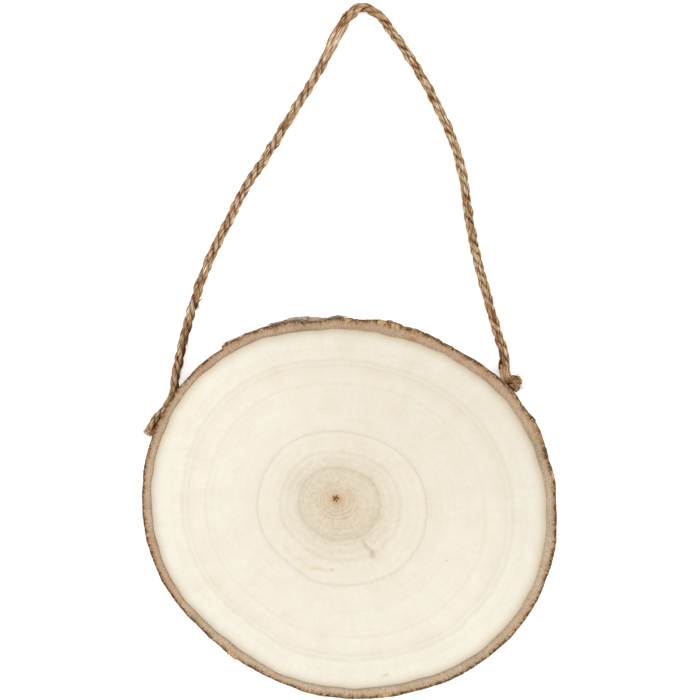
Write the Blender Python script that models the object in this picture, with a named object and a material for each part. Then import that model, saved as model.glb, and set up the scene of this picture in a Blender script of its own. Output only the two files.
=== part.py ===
"""A slice of a tree branch with its bark on, and the jute cord loop that is stapled to its bark for hanging it.

The slice lies on its back face with the sanded front face up, and the loop lies on the same surface behind it.
Units are metres and +Z is up. The origin is the middle of the slice's back face.
"""

import math

import bmesh
import bpy
from mathutils import Vector

# Slice of the branch
THICKNESS = 0.0120
PITH = (-0.00716, 0.00381)
# From the pith to the bark's edge on the front face, every 30 degrees counter-clockwise from +X
RIM_RADII = (0.1051, 0.0985, 0.0893, 0.0868, 0.0910, 0.0938, 0.0940, 0.0928, 0.0914, 0.0965, 0.1029, 0.1092)
# The saw went through a little out of square, so the side leans this far across for each metre down
LEAN = (0.22, 0.14)
ROUND_STEPS = 240
HEIGHT_STEPS = 7

# Bark ridges that run along the branch: how many there are round it, their height and where they start
BARK_RIDGES = ((19, 0.00022, 0.4), (31, 0.00018, 2.1), (53, 0.00014, 4.4))
RIDGE_TWIST = 1.6
# Bark flakes: first and last angle in degrees, low and high edge as shares of the thickness, lift at each angle
FLAKES = (
    (8.0, 15.0, 0.0, 0.9, 0.0005, 0.0002),
    (17.0, 26.0, 0.0, 1.0, 0.0006, 0.0009),
    (62.0, 74.0, 0.0, 0.7, 0.0002, 0.0008),
    (86.0, 93.5, 0.0, 0.9, 0.0007, 0.0003),
    (96.0, 110.5, 0.0, 0.8, 0.0014, 0.0004),
    (111.5, 127.0, 0.0, 1.0, 0.0002, 0.0011),
    (172.0, 184.0, 0.1, 0.8, 0.0003, 0.0008),
    (204.0, 213.0, 0.0, 0.6, 0.0008, 0.0002),
    (233.0, 238.0, 0.2, 1.0, 0.0004, 0.0014),
    (262.0, 277.0, 0.0, 0.7, 0.0007, 0.0002),
    (298.0, 306.0, 0.2, 1.0, 0.0002, 0.0008),
    (331.0, 345.0, 0.0, 0.8, 0.0002, 0.0006),
)

# The pith is a small star-shaped hollow in the front face
PITH_LOBES = 5
PITH_OUTER = 0.0021
PITH_INNER = 0.0010
PITH_DEPTH = 0.0004

# Jute cord: places on its route in millimetres (x, y, z), from the left cut end round the loop to the right one,
# each with its width there as a share of the cord's. The staples squeeze it, and its top has come untwisted.
CORD_DIAMETER = 0.0048
CORD_ROUTE = (
    (-98.5, 35.5, 3.0, 1.00),
    (-95.3, 42.1, 3.6, 1.00),
    (-91.6, 46.4, 4.3, 0.83),
    (-86.6, 51.5, 4.8, 0.55),
    (-86.1, 56.1, 4.7, 0.85),
    (-85.9, 61.8, 4.2, 1.00),
    (-83.4, 74.3, 3.2, 1.00),
    (-80.4, 86.8, 2.7, 1.00),
    (-76.4, 100.3, 2.6, 1.00),
    (-71.4, 114.8, 2.6, 1.00),
    (-65.4, 128.3, 2.6, 1.00),
    (-58.9, 140.8, 2.6, 1.00),
    (-51.9, 154.8, 2.6, 1.00),
    (-42.4, 169.3, 2.6, 1.00),
    (-30.4, 188.8, 2.6, 1.00),
    (-18.9, 207.3, 2.6, 1.00),
    (-11.4, 220.8, 2.7, 1.05),
    (-5.4, 232.3, 3.0, 1.15),
    (-0.4, 240.3, 3.0, 1.15),
    (6.1, 243.8, 2.8, 1.05),
    (13.1, 240.8, 2.6, 1.00),
    (18.6, 234.3, 2.6, 1.00),
    (27.1, 222.3, 2.6, 1.00),
    (36.1, 207.8, 2.6, 1.00),
    (43.6, 193.3, 2.6, 1.00),
    (50.1, 178.8, 2.6, 1.00),
    (55.1, 161.3, 2.6, 1.00),
    (57.6, 143.3, 2.6, 1.00),
    (61.1, 124.8, 2.6, 1.00),
    (66.1, 105.3, 2.6, 1.00),
    (71.1, 87.3, 2.8, 1.00),
    (74.6, 75.8, 3.4, 1.00),
    (75.1, 69.3, 4.2, 1.00),
    (74.7, 63.5, 4.7, 0.78),
    (77.5, 60.5, 6.0, 0.95),
    (79.8, 59.1, 8.6, 1.10),
)
CORD_SPACING = 0.0100
FINEST_STEPS = 2

# Staples: where round the pith each one is, how far in it has crushed the bark, and how far its crown stands out
# from the crushed bark. Both are the same staple.
STAPLE_HEIGHT = 0.0048
STAPLES = {
    "staple_left": (150.0, 0.0022, 0.0043),
    "staple_right": (35.6, 0.0, 0.0056),
}
STAPLE_WIRE = 0.0008
STAPLE_WIDTH = 0.0060
STAPLE_LEG = 0.0100
STAPLE_BEND = 0.0008
BEND_STEPS = 3
CRUSHED_WIDTH = 9.0
CRUSHED_HEIGHT = 0.0055
CLEARANCE = 0.0003


def smooth_step(before, start, end, after, share):
    """A place on the smooth curve from start to end that also passes through before and after."""
    straight = 2 * start + (end - before) * share
    bent = (2 * before - 5 * start + 4 * end - after) * share**2
    turned = (3 * start - before - 3 * end + after) * share**3
    return 0.5 * (straight + bent + turned)


def rim_radius(angle):
    """From the pith to the bark's edge on the front face."""
    place = (angle % math.tau) / math.tau * len(RIM_RADII)
    first = int(place)
    nearby = [RIM_RADII[(first + step) % len(RIM_RADII)] for step in (-1, 0, 1, 2)]
    return smooth_step(*nearby, place - first)


def hump(distance, half_width):
    """1 in the middle, falling smoothly to 0 at half_width from it."""
    if abs(distance) >= half_width:
        return 0.0
    return math.cos(0.5 * math.pi * distance / half_width) ** 2


def bark_relief(angle, height):
    """How far the bark stands out: its ridges and flakes, less what the staples have crushed."""
    degrees = math.degrees(angle) % 360
    share_up = height / THICKNESS
    relief = 0.0
    for count, size, start in BARK_RIDGES:
        relief += size * math.sin(count * angle + start + RIDGE_TWIST * share_up)
    for first, last, low, high, first_lift, last_lift in FLAKES:
        if first <= degrees <= last and low <= share_up <= high:
            relief += first_lift + (last_lift - first_lift) * (degrees - first) / (last - first)
    for staple_angle, crushed, _ in STAPLES.values():
        across = hump(degrees - staple_angle, CRUSHED_WIDTH)
        relief -= crushed * across * hump(height - STAPLE_HEIGHT, CRUSHED_HEIGHT)
    return relief


def bark_point(angle, height, out=0.0):
    """A point on the slice's side, or out metres beyond the bark there."""
    radius = rim_radius(angle) + bark_relief(angle, height) + out
    down = THICKNESS - height
    x = PITH[0] + LEAN[0] * down + radius * math.cos(angle)
    y = PITH[1] + LEAN[1] * down + radius * math.sin(angle)
    return Vector((x, y, height))


def make_collection(name):
    collection = bpy.data.collections.new(name)
    bpy.context.scene.collection.children.link(collection)
    return collection


def make_material(name, colour, roughness, metallic=0.0):
    material = bpy.data.materials.new(name)
    material.use_nodes = True
    shader = material.node_tree.nodes["Principled BSDF"]
    shader.inputs["Base Color"].default_value = (*colour, 1.0)
    shader.inputs["Roughness"].default_value = roughness
    shader.inputs["Metallic"].default_value = metallic
    material.diffuse_color = (*colour, 1.0)
    return material


def make_object(name, data, collection, *materials):
    thing = bpy.data.objects.new(name, data)
    for material in materials:
        thing.data.materials.append(material)
    collection.objects.link(thing)
    return thing


def make_slice(collection, wood, bark):
    """A cylinder whose side is cut into levels and then moved out to the bark's real outline."""
    shape = bmesh.new()
    bmesh.ops.create_cone(
        shape, cap_ends=True, segments=ROUND_STEPS, radius1=1.0, radius2=1.0, depth=THICKNESS
    )
    upright = [edge for edge in shape.edges if abs(edge.verts[0].co.z - edge.verts[1].co.z) > CLEARANCE]
    bmesh.ops.subdivide_edges(shape, edges=upright, cuts=HEIGHT_STEPS - 1)
    for vertex in shape.verts:
        angle = math.atan2(vertex.co.y, vertex.co.x)
        vertex.co = bark_point(angle, vertex.co.z + 0.5 * THICKNESS)
    for face in shape.faces:
        face.material_index = 0 if len(face.verts) > 4 else 1
    mesh = bpy.data.meshes.new("wood_slice")
    shape.to_mesh(mesh)
    shape.free()
    mesh.shade_smooth()
    mesh.set_sharp_from_angle(angle=math.radians(40))
    return make_object("wood_slice", mesh, collection, wood, bark)


def make_cutter(name, shape, collection):
    mesh = bpy.data.meshes.new(name)
    shape.to_mesh(mesh)
    shape.free()
    cutter = make_object(name, mesh, collection)
    cutter.hide_render = True
    cutter.display_type = "WIRE"
    return cutter


def cut_out(thing, cutter):
    cut = thing.modifiers.new(cutter.name, "BOOLEAN")
    cut.operation = "DIFFERENCE"
    cut.solver = "EXACT"
    cut.object = cutter


def cut_pith(wood_slice, cutters):
    """The star-shaped hollow that the soft pith leaves when the face is sanded."""
    shape = bmesh.new()
    bmesh.ops.create_cone(
        shape, cap_ends=True, segments=2 * PITH_LOBES, radius1=1.0, radius2=1.0, depth=2 * PITH_DEPTH
    )
    for vertex in shape.verts:
        corner = round(math.atan2(vertex.co.y, vertex.co.x) / (math.pi / PITH_LOBES))
        radius = PITH_OUTER if corner % 2 == 0 else PITH_INNER
        vertex.co.x *= radius
        vertex.co.y *= radius
    star = make_cutter("pith_star", shape, cutters)
    star.location = (PITH[0], PITH[1], THICKNESS)
    cut_out(wood_slice, star)


def crown_place(name):
    """The middle of a staple's crown, and the way that the crown faces."""
    degrees, _, stands_out = STAPLES[name]
    angle = math.radians(degrees)
    return bark_point(angle, STAPLE_HEIGHT, stands_out - 0.5 * STAPLE_WIRE), angle


def cut_staple_holes(name, wood_slice, cutters):
    """The two holes that a staple's legs have made."""
    crown, angle = crown_place(name)
    outward = Vector((math.cos(angle), math.sin(angle), 0))
    length = STAPLE_LEG + CLEARANCE
    for side in (-1, 1):
        shape = bmesh.new()
        radius = 0.5 * STAPLE_WIRE + CLEARANCE
        bmesh.ops.create_cone(shape, cap_ends=True, segments=12, radius1=radius, radius2=radius, depth=length)
        cutter = make_cutter(f"{name}_hole", shape, cutters)
        middle = crown - 0.5 * length * outward
        cutter.location = middle + Vector((0, 0, 0.5 * side * STAPLE_WIDTH))
        cutter.rotation_euler = (0, math.pi / 2, angle)
        cut_out(wood_slice, cutter)


def make_wire(name, points, shares, diameter, sides, collection, material):
    """A round wire or cord through points, with its width at each point as a share of its diameter."""
    curve = bpy.data.curves.new(name, "CURVE")
    curve.dimensions = "3D"
    curve.bevel_depth = 0.5 * diameter
    curve.bevel_resolution = sides
    curve.use_fill_caps = True
    spline = curve.splines.new("POLY")
    spline.points.add(len(points) - 1)
    for place, point, share in zip(spline.points, points, shares):
        place.co = (*point, 1.0)
        place.radius = share
    return make_object(name, curve, collection, material)


def make_staple(name, collection, steel):
    """A wire staple lying in its own XZ plane, crown at X = 0 and legs towards -X, turned to face the bark."""
    half = 0.5 * STAPLE_WIDTH
    lower = [Vector((-STAPLE_LEG, 0, -half))]
    for step in range(BEND_STEPS + 1):
        turn = 0.5 * math.pi * step / BEND_STEPS
        across = STAPLE_BEND * (math.sin(turn) - 1)
        along = STAPLE_BEND * (1 - math.cos(turn)) - half
        lower.append(Vector((across, 0, along)))
    upper = [Vector((point.x, 0, -point.z)) for point in reversed(lower)]
    points = lower + upper
    staple = make_wire(name, points, [1.0] * len(points), STAPLE_WIRE, 2, collection, steel)
    crown, angle = crown_place(name)
    staple.location = crown
    staple.rotation_euler = (0, 0, angle)


def cord_points():
    """Points close together along the smooth curve through the cord's route, each with its width share."""
    route = [Vector(place) for place in CORD_ROUTE]
    ends = [2 * route[0] - route[1], 2 * route[-1] - route[-2]]
    route = [ends[0], *route, ends[1]]
    points = []
    for first in range(1, len(route) - 2):
        nearby = route[first - 1 : first + 3]
        length = 0.001 * (nearby[2] - nearby[1]).length
        steps = max(FINEST_STEPS, round(length / CORD_SPACING))
        points += [smooth_step(*nearby, step / steps) for step in range(steps)]
    points.append(route[-2])
    return [0.001 * point.xyz for point in points], [point.w for point in points]


def build():
    for thing in list(bpy.data.objects):
        bpy.data.objects.remove(thing, do_unlink=True)
    parts = make_collection("wood_slice_with_cord")
    cutters = make_collection("cutters")
    wood = make_material("sanded_wood", (0.87, 0.82, 0.70), 0.75)
    bark = make_material("bark", (0.24, 0.16, 0.10), 0.90)
    jute = make_material("jute", (0.42, 0.27, 0.13), 0.95)
    steel = make_material("staple_steel", (0.38, 0.36, 0.33), 0.45, 1.0)

    wood_slice = make_slice(parts, wood, bark)
    cut_pith(wood_slice, cutters)
    for name in STAPLES:
        make_staple(name, parts, steel)
        cut_staple_holes(name, wood_slice, cutters)
    points, shares = cord_points()
    make_wire("jute_cord", points, shares, CORD_DIAMETER, 3, parts, jute)


build()
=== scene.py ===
"""A slice of a tree branch with its bark on, and the jute cord loop stapled to its bark for hanging it.

The slice lies on its sawn back with the sanded face up, and the loop lies on the same surface behind it.
Units are metres, +Z is up, and the origin is the middle of the slice's back face.
"""

import math
import random

import bpy
import numpy as np
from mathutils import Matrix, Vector, noise


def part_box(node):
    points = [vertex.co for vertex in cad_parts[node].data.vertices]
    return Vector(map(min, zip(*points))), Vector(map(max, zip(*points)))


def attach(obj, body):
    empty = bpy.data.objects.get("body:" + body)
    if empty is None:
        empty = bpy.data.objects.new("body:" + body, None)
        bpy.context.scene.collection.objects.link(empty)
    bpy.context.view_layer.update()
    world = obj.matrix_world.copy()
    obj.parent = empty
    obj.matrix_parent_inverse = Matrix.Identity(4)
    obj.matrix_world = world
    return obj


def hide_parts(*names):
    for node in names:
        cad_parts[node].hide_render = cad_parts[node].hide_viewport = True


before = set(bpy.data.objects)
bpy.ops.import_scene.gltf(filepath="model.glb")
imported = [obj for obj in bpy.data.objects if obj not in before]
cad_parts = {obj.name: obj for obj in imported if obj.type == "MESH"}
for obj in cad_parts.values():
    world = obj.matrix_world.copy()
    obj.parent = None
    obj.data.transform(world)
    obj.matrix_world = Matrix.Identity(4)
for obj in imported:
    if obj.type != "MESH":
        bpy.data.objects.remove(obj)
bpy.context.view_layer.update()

# Wood of the branch
# The pale sapwood of a fast-grown broadleaf tree, sawn across and sanded smooth. It shows growth rings
# round an off-centre pith, faint rays, and the trace of a small knot. It grew as one piece with the bark
# round it.

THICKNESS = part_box("wood_slice")[1].z
PITH = (-0.00716, 0.00381)
# The saw went through a little out of square, so the branch leans this far across for each metre down
LEAN = (0.22, 0.14)
# From the pith to the outer edge of the wood, every 15 degrees counter-clockwise from +X
WOOD_STEP = 15
WOOD_RADII = (
    *(0.1018, 0.0990, 0.0949, 0.0898, 0.0855, 0.0829, 0.0821, 0.0833, 0.0862, 0.0881, 0.0895, 0.0895),
    *(0.0897, 0.0892, 0.0887, 0.0866, 0.0871, 0.0895, 0.0917, 0.0941, 0.0982, 0.1021, 0.1041, 0.1040),
)
WOOD_COLUMNS = 720
# The branch grew more wood above the pith early on, so the inner rings sit towards this side
OFF_CENTRE = 0.13
OFF_CENTRE_ANGLE = math.radians(275)

PITH_LOBES = 5
PITH_OUTER = 0.0020
PITH_INNER = 0.0010
PITH_DEPTH = 0.0004


def around(places, radii, angle):
    """A smooth closed outline through radii at places given in degrees, at each angle."""
    places = np.concatenate([[places[-1] - 360], places, [places[0] + 360, places[1] + 360]])
    radii = np.concatenate([radii[-1:], radii, radii[:2]])
    slopes = np.gradient(radii, places)
    degrees = np.degrees(angle) % 360
    first = np.searchsorted(places, degrees, side="right") - 1
    span = places[first + 1] - places[first]
    share = (degrees - places[first]) / span
    rise = radii[first + 1] - radii[first]
    leaving, arriving = slopes[first] * span, slopes[first + 1] * span
    bent = (3 * rise - 2 * leaving - arriving) * share**2
    return radii[first] + leaving * share + bent + (leaving + arriving - 2 * rise) * share**3


def bumps(points, size, layers=2):
    """Layered smooth noise from about -1 to 1 at each point, with bumps of about that size in metres."""
    return np.array([noise.fractal(point, 1.0, 2.0, layers) for point in (points / size).tolist()])


def smooth(value, low, high):
    """0 below low, 1 above high and a smooth step between them, which may run either way."""
    share = np.clip((value - low) / (high - low), 0, 1)
    return share * share * (3 - 2 * share)


def place_round(radius, angle, height):
    """Points at a radius from the pith's axis, which leans with the branch."""
    down = THICKNESS - height
    x = PITH[0] + LEAN[0] * down + radius * np.cos(angle)
    y = PITH[1] + LEAN[1] * down + radius * np.sin(angle)
    return np.stack([x, y, height + 0 * radius * angle], axis=-1)


def wood_radius(angle):
    """From the pith to the edge of the wood, with the small waves that every ring has."""
    waves = 0.00016 * np.sin(13 * angle + 1.0) + 0.00014 * np.sin(29 * angle) + 0.0001 * np.sin(47 * angle + 2.0)
    return around(range(0, 360, WOOD_STEP), WOOD_RADII, angle) + waves


def grid_faces(rows, columns, closed_rows=False):
    """Faces of a grid whose columns close on themselves, outward where rows go out and columns left."""
    steps = np.arange(rows if closed_rows else rows - 1), np.arange(columns)
    row, column = np.meshgrid(*steps, indexing="ij")
    next_row, next_column = (row + 1) % rows * columns, (column + 1) % columns
    row = row * columns
    corners = [row + column, next_row + column, next_row + next_column, row + next_column]
    return np.stack(corners, axis=-1).reshape(-1, 4).tolist()


def make_piece(name, points, faces, values, materials, face_material=None):
    """A smooth mesh with its values at each point as attributes, linked to the scene."""
    mesh = bpy.data.meshes.new(name)
    mesh.from_pydata(points.tolist(), [], faces)
    for value_name, value in values.items():
        kind, field = ("FLOAT", "value") if value.ndim == 1 else ("FLOAT_VECTOR", "vector")
        mesh.attributes.new(value_name, kind, "POINT").data.foreach_set(field, value.astype(np.float32).ravel())
    for material in materials:
        mesh.materials.append(material)
    if face_material is not None:
        mesh.polygons.foreach_set("material_index", np.asarray(face_material, dtype=np.int32))
    mesh.shade_smooth()
    mesh.update()
    piece = bpy.data.objects.new(name, mesh)
    bpy.context.scene.collection.objects.link(piece)
    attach(piece, "root")
    return piece


def tint(code):
    """An sRGB hex colour as linear red, green, blue and alpha."""
    values = [int(code[start : start + 2], 16) / 255 for start in (1, 3, 5)]
    return (*[v / 12.92 if v <= 0.04045 else ((v + 0.055) / 1.055) ** 2.4 for v in values], 1.0)


def plug(tree, node, sockets):
    """Sets each socket of a node to a number, a vector or a hex colour, or links it to an output."""
    for socket, value in sockets.items():
        if isinstance(value, bpy.types.NodeSocket):
            tree.links.new(value, node.inputs[socket])
        else:
            node.inputs[socket].default_value = tint(value) if isinstance(value, str) else value


def add(tree, kind, sockets=None, out=0, stops=(), **settings):
    """Adds a shader node with its sockets, colour stops and settings, and gives one of its outputs."""
    node = tree.nodes.new("ShaderNode" + kind)
    for name, value in settings.items():
        setattr(node, name, value)
    for _ in stops[2:]:
        node.color_ramp.elements.new(1.0)
    for number, (position, colour) in enumerate(stops):
        node.color_ramp.elements[number].position = position
        node.color_ramp.elements[number].color = tint(colour)
    plug(tree, node, sockets or {})
    return node.outputs[out]


def new_material(name):
    """An empty material with its tree and its shader."""
    material = bpy.data.materials.new(name)
    material.use_nodes = True
    return material, material.node_tree, material.node_tree.nodes["Principled BSDF"]


def blotches(tree, vector, scale, low, high, most=1.0, detail=2.0, roughness=0.5):
    """A share that is 0 where a noise is low and the most where it is high, or the other way round."""
    found = {"Vector": vector, "Scale": scale, "Detail": detail, "Roughness": roughness}
    return add(tree, "MapRange", {0: add(tree, "TexNoise", found), 1: low, 2: high, 4: most})


def on_side(tree, vector, direction, low, high, most, **settings):
    """A share from 0 to the most as a place lies further that way from the pith."""
    reach = add(tree, "VectorMath", {0: vector, 1: direction}, "Value", operation="DOT_PRODUCT")
    return add(tree, "MapRange", {0: reach, 1: low, 2: high, 4: most}, **settings)


# Sanded sapwood: matt, with only the faint sheen that fine sandpaper leaves. Tan and closely ringed round
# the pith, cream further out, and duller where it meets the bark.
sanded_wood, tree, shader = new_material("sanded_sapwood")
growth = add(tree, "Attribute", out="Vector", attribute_name="growth")
share_out = add(tree, "VectorMath", {0: growth}, "Value", operation="LENGTH")
place = add(tree, "TexCoord", out="Object")

# Rings wander by about 0.6 mm over a hand's width, and by less over a few millimetres
wander = add(tree, "TexNoise", {"Vector": growth, "Scale": 2.6, "Detail": 2.0})
wander = add(tree, "MapRange", {0: wander, 3: -0.014, 4: 0.014})
shiver = add(tree, "TexNoise", {"Vector": growth, "Scale": 34.0, "Detail": 2.0})
shiver = add(tree, "Math", {0: shiver, 1: 0.012, 2: -0.006}, operation="MULTIPLY_ADD")
wander = add(tree, "Math", {0: wander, 1: shiver}, operation="ADD")
ring_place = add(tree, "Math", {0: share_out, 1: wander}, operation="ADD")
RING_TONES = (
    *((0.000, "#C0935F"), (0.017, "#CDAE88"), (0.034, "#D9C6A9"), (0.085, "#DFD1B9"), (0.120, "#E2D6C0")),
    *((0.180, "#E3D8C3"), (0.203, "#DACDB7"), (0.220, "#E8DFCC"), (0.285, "#ECE4D3"), (0.302, "#E6DDCB")),
    *((0.320, "#EEE6D6"), (0.415, "#EFE8D8"), (0.428, "#E4DCCB"), (0.440, "#F0E9DA"), (0.560, "#F1EBDC")),
    *((0.690, "#F2ECDD"), (0.705, "#EFE8D8"), (0.725, "#F3EDDE"), (0.790, "#F2ECDD"), (0.808, "#ECE5D5")),
    *((0.820, "#F1EBDC"), (0.836, "#ECE5D5"), (0.855, "#F3EEDF"), (1.000, "#F3EEDF")),
)
colour = add(tree, "ValToRGB", {0: ring_place}, stops=RING_TONES)

# Yearly rings 1.6 mm apart: pale early wood, then a thin darker line of late wood, stronger in some years
RINGS_ACROSS = 56.0
year = add(tree, "Math", {0: ring_place, 1: RINGS_ACROSS}, operation="MULTIPLY")
good_years = add(tree, "TexNoise", {"W": year, "Scale": 0.55, "Detail": 2.0}, noise_dimensions="1D")
uneven = add(tree, "Math", {0: good_years, 1: 2.4, 2: year}, operation="MULTIPLY_ADD")
season = add(tree, "Math", {0: uneven}, operation="FRACT")
late_wood = add(tree, "MapRange", {0: season, 1: 0.45, 2: 0.95}, interpolation_type="SMOOTHERSTEP")
by_year = add(tree, "TexNoise", {"W": year, "Scale": 0.31, "Detail": 1.0}, noise_dimensions="1D")
by_place = add(tree, "TexNoise", {"Vector": growth, "Scale": 3.4, "Detail": 1.0})
strength = add(tree, "Math", {0: by_year, 1: by_place}, operation="MULTIPLY")
strength = add(tree, "MapRange", {0: strength, 1: 0.16, 2: 0.42, 4: 0.35})
inner_rings = add(tree, "MapRange", {0: share_out, 1: 0.12, 2: 0.38, 3: 1.0, 4: 0.26})
strength = add(tree, "Math", {0: strength, 1: inner_rings}, operation="MULTIPLY")
late_wood = add(tree, "Math", {0: late_wood, 1: strength}, operation="MULTIPLY")

# Rays: thin pale and dark lines that run out from the pith
ray_place = add(tree, "VectorMath", {0: growth}, operation="NORMALIZE")
ray_place = add(tree, "VectorMath", {0: ray_place, "Scale": 34.0}, operation="SCALE")
ray_place = add(tree, "VectorMath", {0: ray_place, 1: growth}, operation="ADD")
rays = blotches(tree, ray_place, 1.6, 0.5, 0.8, 0.16, detail=3.0)

# Soft patches a centimetre across from sap that dried unevenly, and a mottle of 2 mm, stronger near the pith
askew = add(tree, "Mapping", {"Vector": place, "Rotation": (0.5, 0.4, 0.7)})
clouds = blotches(tree, askew, 95.0, 0.42, 0.70, 0.25, detail=3.0)
blush = blotches(tree, askew, 62.0, 0.46, 0.66, 0.22, detail=3.0, roughness=0.6)
mottle = blotches(tree, askew, 480.0, 0.42, 0.66, detail=3.0, roughness=0.6)
near_pith = add(tree, "MapRange", {0: share_out, 1: 0.05, 2: 0.40, 3: 0.55, 4: 0.12})
mottle = add(tree, "Math", {0: mottle, 1: near_pith}, operation="MULTIPLY")

# The last millimetre of wood is the softest and has taken colour from the bark, and the side towards the top
# right is a shade darker
young_wood = add(tree, "MapRange", {0: share_out, 1: 0.92, 2: 1.0})
young_wood = add(tree, "Math", {0: young_wood, 1: 3.3}, operation="POWER")
SMOOTHLY = {"interpolation_type": "SMOOTHSTEP"}
duller = on_side(tree, growth, (0.62, 0.78, 0.0), -0.1, 1.0, 0.9, **SMOOTHLY)
for how, share, coat in (
    ("MULTIPLY", late_wood, "#CBBCA0"),
    ("MULTIPLY", rays, "#EDE2CE"),
    ("MULTIPLY", clouds, "#F3EEE2"),
    ("MULTIPLY", blush, "#FDF3EF"),
    ("MULTIPLY", mottle, "#EAE1D2"),
    ("MIX", young_wood, "#CFBFA2"),
    ("MULTIPLY", duller, "#F3F1EE"),
):
    colour = add(tree, "Mix", {0: share, 6: colour, 7: coat}, 2, data_type="RGBA", blend_type=how)

# Stains on the sanded face: x and y in mm, half length and half width in mm, turn in degrees, strength and
# colour
STAINS = (
    (7.2, -18.6, 4.2, 1.2, -51.0, 0.46, "#B9A184"),
    (10.7, -23.2, 3.0, 2.0, -66.0, 0.50, "#B49A78"),
    (13.0, -24.0, 5.0, 3.2, 0.0, 0.22, "#E3C7A0"),
    (-30.8, -21.0, 4.0, 1.7, -42.0, 0.26, "#E8C08A"),
    (-24.0, -26.0, 4.6, 1.4, -30.0, 0.32, "#E3C38C"),
    (-16.0, -30.3, 6.2, 1.6, -14.0, 0.40, "#DDBE84"),
    (-9.0, -31.0, 1.3, 1.0, 0.0, 0.40, "#BFA878"),
    (-3.2, 27.6, 1.3, 0.8, 20.0, 0.30, "#E2B983"),
    (14.8, -4.5, 1.6, 0.9, 30.0, 0.34, "#E2B67C"),
    (46.3, -26.3, 0.7, 0.6, 0.0, 0.42, "#8E8270"),
    (-5.8, 0.6, 5.2, 3.2, -90.0, 0.22, "#CC9F7A"),
    (16.8, -82.4, 2.4, 1.3, 10.0, 0.42, "#D8B884"),
)
# Noise up to this large makes their edges ragged, and their places allow for half of it, its middle value
RAGGED = 0.0032
ragged_place = add(tree, "TexNoise", {"Vector": place, "Scale": 260.0, "Detail": 2.0}, "Color")
ragged_place = add(tree, "VectorMath", {0: ragged_place, "Scale": RAGGED}, operation="SCALE")
ragged_place = add(tree, "VectorMath", {0: place, 1: ragged_place}, operation="ADD")
for x, y, half_length, half_width, turn, darkness, stain in STAINS:
    local = {
        "Vector": ragged_place,
        "Location": (0.001 * x + 0.5 * RAGGED, 0.001 * y + 0.5 * RAGGED, THICKNESS + 0.5 * RAGGED),
        "Rotation": (0, 0, math.radians(turn)),
        "Scale": (0.001 * half_length, 0.001 * half_width, 0.006),
    }
    away = add(tree, "Mapping", local, vector_type="TEXTURE")
    away = add(tree, "VectorMath", {0: away}, "Value", operation="LENGTH")
    amount = add(tree, "MapRange", {0: away, 1: 0.1, 2: 1.25, 3: darkness, 4: 0.0}, **SMOOTHLY)
    colour = add(tree, "Mix", {0: amount, 6: colour, 7: stain}, 2, data_type="RGBA")

# Pith: soft brown tissue that sanding tears out of its star-shaped hollow
pith_colour = add(tree, "TexNoise", {"Vector": place, "Scale": 1400.0, "Detail": 2.0})
PITH_TONES = ((0.34, "#54300F"), (0.52, "#855622"), (0.68, "#C49A5C"))
pith_colour = add(tree, "ValToRGB", {0: pith_colour}, stops=PITH_TONES)
pith_share = add(tree, "Attribute", out="Fac", attribute_name="pith")
colour = add(tree, "Mix", {0: pith_share, 6: colour, 7: pith_colour}, 2, data_type="RGBA")

# Pores and the marks of fine sandpaper, about 0.3 mm apart, drawn coarser than the real ones so that they
# show
pores = add(tree, "TexNoise", {"Vector": place, "Scale": 1500.0, "Detail": 2.0})
relief = add(tree, "Math", {0: late_wood, 1: 0.5, 2: pores}, operation="MULTIPLY_ADD")
relief = add(tree, "Bump", {"Height": relief, "Strength": 0.35, "Distance": 0.00005})
sheen_of_sanding = add(tree, "MapRange", {0: pores, 3: 0.56, 4: 0.72})
plug(tree, shader, {"Base Color": colour, "Normal": relief, "Roughness": sheen_of_sanding})
plug(tree, shader, {"IOR": 1.46, "Specular IOR Level": 0.3})


def star_depth(angle, radius):
    """1 inside the pith's star, falling smoothly to 0 at its edge."""
    pointed = 0.5 + 0.5 * np.cos(PITH_LOBES * angle)
    edge = PITH_INNER + (PITH_OUTER - PITH_INNER) * pointed
    return smooth(radius, 1.05 * edge, 0.72 * edge)


def make_wood():
    """The wood as one closed disc: its face from the pith out, its edge, and its back from the edge in."""
    near_pith = np.linspace(0.0018, 0.03, 15)
    face_shares = np.concatenate([near_pith, np.linspace(0.045, 0.99, 42), [1.0]])
    back_shares = np.concatenate([[1.0], np.linspace(0.96, 0.05, 18), [0.03, 0.02, 0.01, 0.0018]])
    rows = [(share, THICKNESS) for share in face_shares]
    rows += [(1.0, height) for height in THICKNESS * np.array([0.75, 0.5, 0.25])]
    rows += [(share, 0.0) for share in back_shares]
    columns = WOOD_COLUMNS
    angle = math.tau * np.arange(columns) / columns
    points, growths, hollows = [], [], []
    for share, height in rows:
        leant = 1 + OFF_CENTRE * (1 - share) * np.cos(angle - OFF_CENTRE_ANGLE)
        radius = share * wood_radius(angle) * leant
        hollow = star_depth(angle, radius) if height in (THICKNESS, 0.0) else 0 * angle
        row_points = place_round(radius, angle, height)
        row_points[:, 2] -= PITH_DEPTH * hollow * (1 if height > 0 else -1)
        points.append(row_points)
        growths.append(np.stack([share * np.cos(angle), share * np.sin(angle), 0 * angle], axis=-1))
        hollows.append(hollow)
    faces = grid_faces(len(rows), columns)
    top_centre = len(rows) * columns
    last_row = top_centre - columns
    for column in range(columns):
        next_column = (column + 1) % columns
        faces.append([top_centre, column, next_column])
        faces.append([top_centre + 1, last_row + next_column, last_row + column])
    # A pale speck of firm tissue is left in the middle of the star
    centres = [place_round(np.zeros(1), np.zeros(1), height)[0] for height in (THICKNESS, 0.0)]
    centres[0][2] -= 0.4 * PITH_DEPTH
    centres[1][2] += PITH_DEPTH
    values = {
        "growth": np.concatenate([*growths, np.zeros((2, 3))]),
        "pith": np.concatenate([*hollows, [0.3, 1.0]]),
    }
    return np.concatenate([*points, centres]), faces, values


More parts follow.
